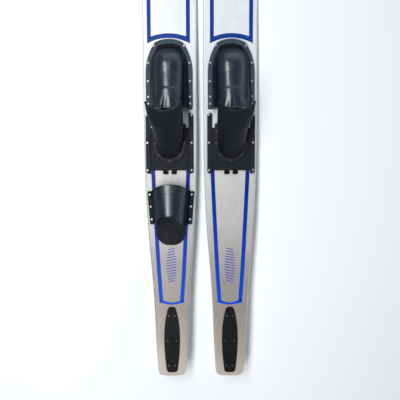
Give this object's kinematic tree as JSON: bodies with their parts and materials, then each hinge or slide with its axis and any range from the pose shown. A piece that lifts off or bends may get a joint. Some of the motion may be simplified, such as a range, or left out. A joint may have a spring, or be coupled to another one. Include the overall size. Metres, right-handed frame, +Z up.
{
  "type": "water ski pair",
  "caption": "Pair of combination water skis with rubber bindings on sliding heel plates, a rear toe piece on one ski and a drop-through fin under each tail.",
  "frame": {"origin": "middle of the pair on the floor it rests on", "axes": "+Y towards the ski tips, +X to the right of a skier who faces the tips, +Z up"},
  "size_m": [0.35, 1.7043, 0.1748],
  "materials": {
    "ski_core": "foam-filled wood core, sealed",
    "deck_sheet": "silver metallic laminate",
    "base_laminate": "smooth",
    "brass_insert": "turned",
    "stainless": "satin",
    "gloss_rubber": "glossy moulded",
    "matte_rubber": "matte",
    "binding_plastic": "fine texture",
    "foot_foam": "ribbed foam",
    "fin_metal": "brushed"
  },
  "bodies": {
    "root": {"left_base_shell": "base_laminate", "left_core": "ski_core", "left_fin": "fin_metal", "left_fin_pins": "stainless", "left_fin_plate": "binding_plastic", "left_fin_screws": "stainless", "left_heel_rail_screws": "stainless", "left_inner_heel_rail": "binding_plastic", "left_outer_heel_rail": "binding_plastic", "left_rear_foot_pad": "foot_foam", "left_rear_toe_inner_strip": "binding_plastic", "left_rear_toe_outer_strip": "binding_plastic", "left_rear_toe_rubber": "gloss_rubber", "left_rear_toe_screws": "stainless", "left_threaded_inserts": "brass_insert", "left_toe_foot_pad": "foot_foam", "left_toe_frame": "binding_plastic", "left_toe_rubber": "gloss_rubber", "left_toe_screws": "stainless", "left_top_sheet": "deck_sheet", "right_base_shell": "base_laminate", "right_core": "ski_core", "right_fin": "fin_metal", "right_fin_pins": "stainless", "right_fin_plate": "binding_plastic", "right_fin_screws": "stainless", "right_heel_rail_screws": "stainless", "right_inner_heel_rail": "binding_plastic", "right_outer_heel_rail": "binding_plastic", "right_threaded_inserts": "brass_insert", "right_toe_foot_pad": "foot_foam", "right_toe_frame": "binding_plastic", "right_toe_rubber": "gloss_rubber", "right_toe_screws": "stainless", "right_top_sheet": "deck_sheet"},
    "left_heel": {"left_heel_plate": "binding_plastic", "left_heel_foot_pad": "foot_foam", "left_heel_rubber": "matte_rubber", "left_heel_horseshoe": "binding_plastic", "left_heel_screws": "stainless", "left_lock_pivot_pins": "stainless", "left_lock_spring": "stainless"},
    "left_inner_lever": {"left_inner_lock_lever": "binding_plastic"},
    "left_outer_lever": {"left_outer_lock_lever": "binding_plastic"},
    "right_heel": {"right_heel_plate": "binding_plastic", "right_heel_foot_pad": "foot_foam", "right_heel_rubber": "matte_rubber", "right_heel_horseshoe": "binding_plastic", "right_heel_screws": "stainless", "right_lock_pivot_pins": "stainless", "right_lock_spring": "stainless"},
    "right_inner_lever": {"right_inner_lock_lever": "binding_plastic"},
    "right_outer_lever": {"right_outer_lock_lever": "binding_plastic"}
  },
  "joints": [
    {"name": "left_heel_slide", "type": "slide", "parent": "root", "child": "left_heel", "axis": [0, 0.9986, -0.0534], "range_m": [-0.009, 0.045]},
    {"name": "left_inner_lever_squeeze", "type": "hinge", "parent": "left_heel", "child": "left_inner_lever", "pos_m": [-0.071, -0.11093, 0.04237], "axis": [0, -0.0534, -0.9986], "range_deg": [-1.12, 2.77], "stiffness_Nm_per_rad": 0.3, "deforming": ["left_lock_spring"]},
    {"name": "left_outer_lever_squeeze", "type": "hinge", "parent": "left_heel", "child": "left_outer_lever", "pos_m": [-0.119, -0.11093, 0.04237], "axis": [0, 0.0534, 0.9986], "range_deg": [-1.12, 2.77], "stiffness_Nm_per_rad": 0.3},
    {"name": "right_heel_slide", "type": "slide", "parent": "root", "child": "right_heel", "axis": [0, 0.9986, -0.0534], "range_m": [-0.009, 0.045]},
    {"name": "right_inner_lever_squeeze", "type": "hinge", "parent": "right_heel", "child": "right_inner_lever", "pos_m": [0.071, -0.11093, 0.04237], "axis": [0, 0.0534, 0.9986], "range_deg": [-1.12, 2.77], "stiffness_Nm_per_rad": 0.3, "deforming": ["right_lock_spring"]},
    {"name": "right_outer_lever_squeeze", "type": "hinge", "parent": "right_heel", "child": "right_outer_lever", "pos_m": [0.119, -0.11093, 0.04237], "axis": [0, -0.0534, -0.9986], "range_deg": [-1.12, 2.77], "stiffness_Nm_per_rad": 0.3}
  ],
  "couplings": [
    {"joint": "left_outer_lever_squeeze", "follows": "left_inner_lever_squeeze", "ratio": 1},
    {"joint": "right_outer_lever_squeeze", "follows": "right_inner_lever_squeeze", "ratio": 1}
  ]
}
